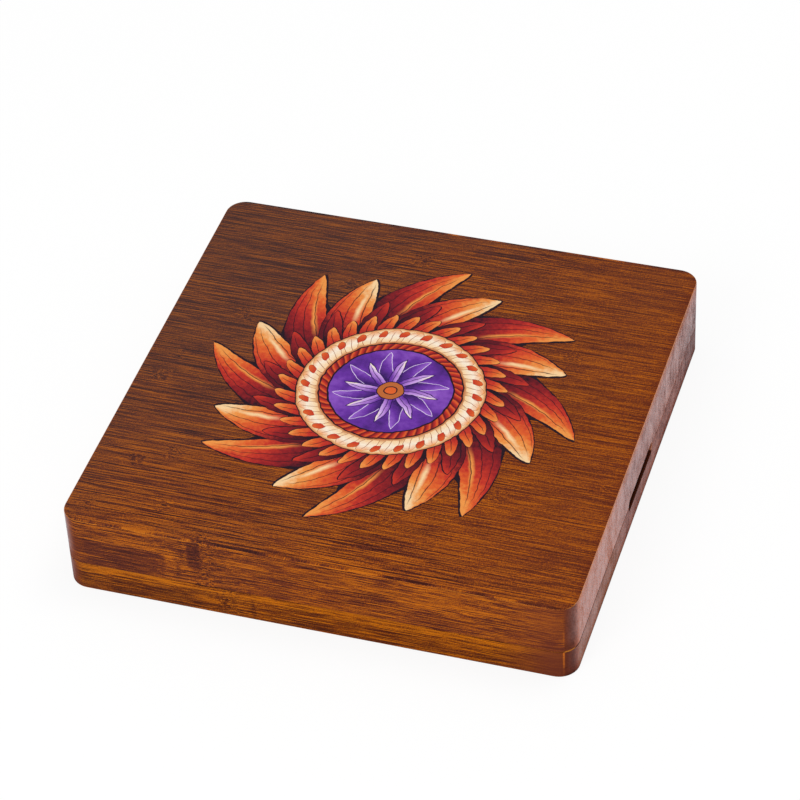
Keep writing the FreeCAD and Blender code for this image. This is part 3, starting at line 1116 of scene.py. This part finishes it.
# %% Ring of leaves group
def make_leaf_group():
    """Count leaves in a ring, each from the radius Root to the radius Tip."""
    tree, given, result = new_group(
        "leaf_ring",
        {"Radius": 0.0, "Turn": 0.0, "Count": 8.0, "Offset": 0.0, "Root": 10.0, "Tip": 20.0,
         "Width": 0.6, "Bulge": 0.9, "Sharp": 0.85, "Border": 0.7},
        ["Inside", "Line", "Along", "Across", "Half"],
    )
    radius, root, tip = given["Radius"], given["Root"], given["Tip"]
    along = (radius - root) / (tip - root)
    left = maths("SUBTRACT", 1.0, along, clamp=True)
    shape = left ** given["Sharp"] * (1.0 + given["Bulge"] * along)
    half = shape * (given["Width"] * root * math.pi / given["Count"])
    sector = maths("FRACT", given["Turn"] * given["Count"] + given["Offset"])
    sideways = (sector - 0.5) * (radius * (2 * math.pi) / given["Count"])
    depth = half - abs(sideways)
    in_length = maths("GREATER_THAN", along, 0.0) * maths("LESS_THAN", along, 1.0)
    feed(result["Inside"], ramp(depth, 0.0, 0.12) * in_length)
    feed(result["Line"], ramp(depth, given["Border"] + 0.12, given["Border"]))
    feed(result["Along"], along)
    feed(result["Across"], sideways / (half + 0.01))
    feed(result["Half"], half)
    return tree


leaf_ring = make_leaf_group()
print("group", leaf_ring.name)

# %% Ink colours
near_black, maroon, blood = paint(38, 20, 32), paint(96, 20, 32), paint(150, 30, 34)
red, orange, amber = paint(196, 52, 36), paint(224, 98, 42), paint(238, 150, 72)
cream, ivory = paint(248, 208, 156), paint(252, 236, 214)
night, violet, lilac = paint(50, 22, 92), paint(104, 48, 160), paint(182, 130, 216)
gilt_low, gilt_high, hoop_line = 28.5, 37.0, 0.45
print("eleven inks mixed")

# %% Rings and hoops of ink
def read_wheel(tree):
    """Where a place lies in the wheel: how far from the centre, and at which turn round it."""
    at = SimpleNamespace(place=place_in_mm(tree))
    # the printed lines waver a little
    waver = split(noise(at.place, scale=0.22, output="Color"))
    flat_x, flat_y = split(at.place)[:2]
    x, y = flat_x + (waver[0] - 0.5) * 1.6, flat_y + (waver[1] - 0.5) * 1.6
    at.radius = maths("SQRT", x * x + y * y)
    at.plain_turn = maths("ARCTAN2", y, x) / (2 * math.pi)
    at.turn = at.plain_turn + 1.0 + (at.radius - flame_root) * flame_lean
    at.mottle = noise(at.place, scale=0.55, detail=4.0, roughness=0.6)
    return at


def leaves(at, below, steps, veins=0.0, vein_width=0.22, highlight=None, lit=0.0,
           border_colour=near_black, **ring):
    """Paints one ring of leaves over what is below."""
    leaf = use_group(leaf_ring, Radius=at.radius, Turn=at.turn, **ring)
    along, across = leaf["Along"], leaf["Across"]
    body = stops(along + across * -lit + (at.mottle - 0.5) * 0.5, *steps)
    if highlight:
        glow = band(across, -0.62, -0.3, 0.14) * band(along, 0.08, 0.72, 0.2)
        body = mix_colours(glow, body, highlight)
    if veins:
        lane = maths("FRACT", across * veins + 0.5)
        from_line = abs(lane - 0.5) * (leaf["Half"] / veins)
        vein = ramp(from_line, vein_width + 0.14, vein_width * 0.5)
        vein *= ramp(along, 0.92, 0.7)
        body = mix_colours(vein * 0.85, body, border_colour)
    body = mix_colours(leaf["Line"], body, border_colour)
    return mix_colours(leaf["Inside"], below, body)


def hoop(at, below, low, high, colour):
    """Paints a plain ring between two radii, with a dark line on both sides."""
    edge = band(at.radius, low - hoop_line, high + hoop_line, 0.12)
    fill = band(at.radius, low, high, 0.12)
    return mix_colours(fill, mix_colours(edge, below, near_black), colour)


print("rings and hoops ready")

# %% [markdown]
# ## The printed ornament: its layers
# The wheel is painted from the outside inwards, each layer over the ones before. Over them
# all comes what a printed board shows close up, the print's dots and the wood's fibres.

# %% Layers of the wheel
def paint_flames(at):
    """Long flames, short flames between them, and two rings of feathers at their roots."""
    flame = dict(Count=flame_count, Root=flame_root, Width=flame_width, Bulge=flame_bulge,
                 Sharp=flame_sharp)
    colour = leaves(
        at, near_black, [(0.0, near_black), (0.12, maroon), (0.34, blood), (0.55, red),
                         (0.78, orange), (1.0, amber)],
        veins=2.0, lit=0.30, highlight=amber, Tip=long_tip, Border=0.35, **flame,
    )
    colour = leaves(
        at, colour, [(0.0, maroon), (0.25, red), (0.5, orange), (0.75, amber), (1.0, cream)],
        veins=1.5, lit=0.35, highlight=cream, Offset=0.5, Tip=short_tip, Border=0.45, **flame,
    )
    colour = leaves(
        at, colour, [(0.0, near_black), (0.3, maroon), (0.7, blood), (1.0, red)],
        veins=1.0, lit=0.25, Count=16, Offset=0.25, Root=38, Tip=54, Width=0.62, Bulge=1.2,
        Sharp=0.7, Border=0.5,
    )
    return leaves(
        at, colour, [(0.0, blood), (0.4, red), (0.7, orange), (1.0, amber)],
        veins=1.0, vein_width=0.16, lit=0.2, Count=32, Root=34, Tip=45.5, Width=0.98, Bulge=0.9,
        Sharp=0.5, Border=0.4,
    )


def paint_hoops(at, colour, gilt):
    """A gilt hoop with large and small petals on it, and a twisted rope inside the hoop."""
    colour = hoop(at, colour, gilt_low, gilt_high, gilt)
    colour = leaves(
        at, colour, [(0.0, cream), (0.5, ivory), (1.0, amber)], veins=1.0, vein_width=0.10,
        border_colour=paint(150, 66, 34), Count=24, Root=29.4, Tip=36.4, Width=0.72, Bulge=1.8,
        Sharp=0.6, Border=0.22,
    )
    colour = leaves(
        at, colour, [(0.0, red), (1.0, orange)], border_colour=paint(110, 40, 26), Count=24,
        Offset=0.5, Root=32.2, Tip=36.0, Width=0.34, Bulge=2.0, Sharp=0.6, Border=0.18,
    )
    rope = maths("FRACT", at.plain_turn * 48.0 + at.radius * 0.22)
    twist = stops(rope, (0.0, maroon), (0.18, blood), (0.5, red), (0.75, orange),
                  (0.92, blood), (1.0, maroon))
    return hoop(at, colour, 24.8, 28.0, twist)


def paint_rosette(at, colour, gilt):
    """A cloudy violet pool, two rings of petals in it, and a gilt-edged button in the middle."""
    cloud = noise(at.place, scale=0.075, detail=3.0, roughness=0.6)
    pool = stops(cloud, (0.25, night), (0.48, violet), (0.66, paint(140, 84, 192)),
                 (0.8, lilac))
    colour = hoop(at, colour, -2.0, 24.2, pool)
    colour = leaves(
        at, colour, [(0.0, night), (0.5, violet), (1.0, paint(150, 96, 200))], lit=0.3,
        border_colour=paint(228, 208, 240), Count=8, Offset=0.5, Root=6, Tip=22.8, Width=1.1,
        Bulge=1.3, Sharp=0.75, Border=0.28,
    )
    colour = leaves(
        at, colour, [(0.0, violet), (0.45, lilac), (0.8, paint(214, 180, 236)), (1.0, ivory)],
        veins=1.0, vein_width=0.16, lit=0.4, border_colour=night, Count=8, Root=3.5, Tip=19.5,
        Width=1.25, Bulge=2.2, Sharp=0.8, Border=0.4,
    )
    colour = hoop(at, colour, 2.6, 5.0, gilt)
    return hoop(at, colour, -2.0, 2.2, orange)


print("layers ready")

# %% Ink material
def make_ink_material():
    """All the layers of the wheel, with the board showing through a little."""
    material, tree, shader = new_material("ornament_ink")
    at = read_wheel(tree)
    over_gilt = (at.radius - gilt_low) * (1 / (gilt_high - gilt_low))
    gilt = stops(over_gilt, (0.0, paint(190, 104, 52)), (0.25, cream), (0.6, ivory),
                 (0.85, cream), (1.0, paint(206, 122, 62)))
    colour = paint_hoops(at, paint_flames(at), gilt)
    colour = paint_rosette(at, colour, gilt)
    # print dots, and the wood's fibres that show through the ink
    stipple = noise(at.place, scale=4.0, detail=1.0)
    fibre = use_group(bamboo_grain, Place=at.place, Seed=lid_seed)["Fibre"]
    shade = 1.0 + fibre * 0.22 + (stipple - 0.5) * 0.26
    grey = new_node("ShaderNodeCombineColor", shade)
    feed_all(grey.inputs, [shade] * 3)
    colour = mix_colours(1.0, colour, Value(grey.outputs[0]), blend="MULTIPLY")
    feed_named(shader, Base_Color=colour, Roughness=0.45, Specular_IOR_Level=0.15)
    add_bump(shader, fibre, 0.03, 0.4)
    return material


ornament.data.materials.append(make_ink_material())
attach(ornament, "lid")
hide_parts("lid_print")
print("ornament inked")

# %% [markdown]
# ## Camera
# The camera stands above the front right corner, well back, with a long lens. A short lens
# close by would make the near corner loom over the rest of such a low, wide chest.

# %% Camera
camera_aim, camera_distance = Vector((-1.39, 14.47, 17.5)) * MM, 1305.5 * MM
camera_azimuth, camera_climb, camera_roll = (
    math.radians(angle) for angle in (19.083, 41.277, -3.107))
camera = new_object("camera", bpy.data.cameras.new("camera"))
back = Vector((
    math.sin(camera_azimuth) * math.cos(camera_climb),
    -math.cos(camera_azimuth) * math.cos(camera_climb),
    math.sin(camera_climb),
))
camera.rotation_mode = "QUATERNION"
camera.rotation_quaternion = (
    back.to_track_quat("Z", "Y") @ Matrix.Rotation(camera_roll, 3, "Z").to_quaternion()
)
camera.location = camera_aim + back * camera_distance
camera.data.sensor_width = 36
camera.data.lens = 148.513
camera.data.clip_end = 20
bpy.context.scene.camera = camera
print("camera at", [round(value, 4) for value in camera.location])

# %% [markdown]
# ## Floor, room and lamps
# The floor is pale paper and the room is white. Seen by the camera or mirrored in the polish
# they glow, so they look white. For all other rays the floor is plain paper and the room is
# dimmer, so the chest is lit softly and keeps its shadow.

# %% Floor
def light_rays(tree):
    """Three values: 1 for a camera ray, 1 for a mirrored ray, 1 for both and through glass."""
    path = tree.nodes.new("ShaderNodeLightPath").outputs
    camera_ray, mirror_ray = Value(path["Is Camera Ray"]), Value(path["Is Glossy Ray"])
    seen = maths("MAXIMUM", camera_ray, mirror_ray)
    return camera_ray, mirror_ray, maths("MAXIMUM", seen, path["Is Transmission Ray"])


def make_floor_material():
    """Pale paper that glows where the camera or a mirror sees it."""
    material, tree, shader = new_material("floor_paper")
    feed_named(shader, Base_Color=(0.86, 0.86, 0.86, 1), Roughness=0.9, Specular_IOR_Level=0.0)
    camera_ray, mirror_ray, seen = light_rays(tree)
    glow = tree.nodes.new("ShaderNodeEmission")
    # mirrored in the chest, the paper is a little cold
    feed_named(glow, Color=mix_colours(mirror_ray, (1, 1, 1, 1), (0.776, 0.862, 1, 1)),
               Strength=1.03 + mirror_ray * 0.17)
    both = tree.nodes.new("ShaderNodeMixShader")
    share = maths("MAXIMUM", seen * 0.45, camera_ray * 0.85)
    feed_all(both.inputs, (share, shader.outputs[0], glow.outputs[0]))
    out = next(node for node in tree.nodes if node.type == "OUTPUT_MATERIAL")
    feed(out.inputs[0], both.outputs[0])
    return material


reach, under_chest = 6.0, -0.05 * MM
floor = new_object("floor", bpy.data.meshes.new("floor"))
floor.data.from_pydata(
    [(-reach, -reach, under_chest), (reach, -reach, under_chest),
     (reach, reach, under_chest), (-reach, reach, under_chest)], [], [(0, 1, 2, 3)])
floor.data.materials.append(make_floor_material())
print("floor laid")

# %% Room and lamps
world = bpy.data.worlds.new("studio")
bpy.context.scene.world = world
world.use_nodes = True
sky = world.node_tree
sky.nodes.clear()
camera_ray, mirror_ray, seen = light_rays(sky)
ambient = 0.70
# mirrored in the chest, the room is white near the horizon and dim overhead
room = ramp(split(coordinates(sky, "Generated"))[2], 0.1, 0.55, 1.0, 0.3)
mirrored = maths("MAXIMUM", room, camera_ray * 1.25)
background = sky.nodes.new("ShaderNodeBackground")
feed(background.inputs["Strength"], seen * mirrored + (1.0 - seen) * ambient)
feed(sky.nodes.new("ShaderNodeOutputWorld").inputs[0], background.outputs[0])


def lamp(name, place, width, watts):
    """Square soft light that faces the chest."""
    light = new_object(name, bpy.data.lights.new(name, "AREA"))
    light.data.size = width
    light.data.energy = watts
    light.location = place
    light.rotation_mode = "QUATERNION"
    light.rotation_quaternion = Vector(place).to_track_quat("Z", "Y")
    light.visible_glossy = False


lamp("front_softbox", (-0.5, -1.6, 1.1), 0.9, 14.0)
lamp("top_softbox", (0.5, 0.4, 1.8), 0.9, 10.0)
bpy.context.scene.view_settings.view_transform = "Standard"
print("stage lit")
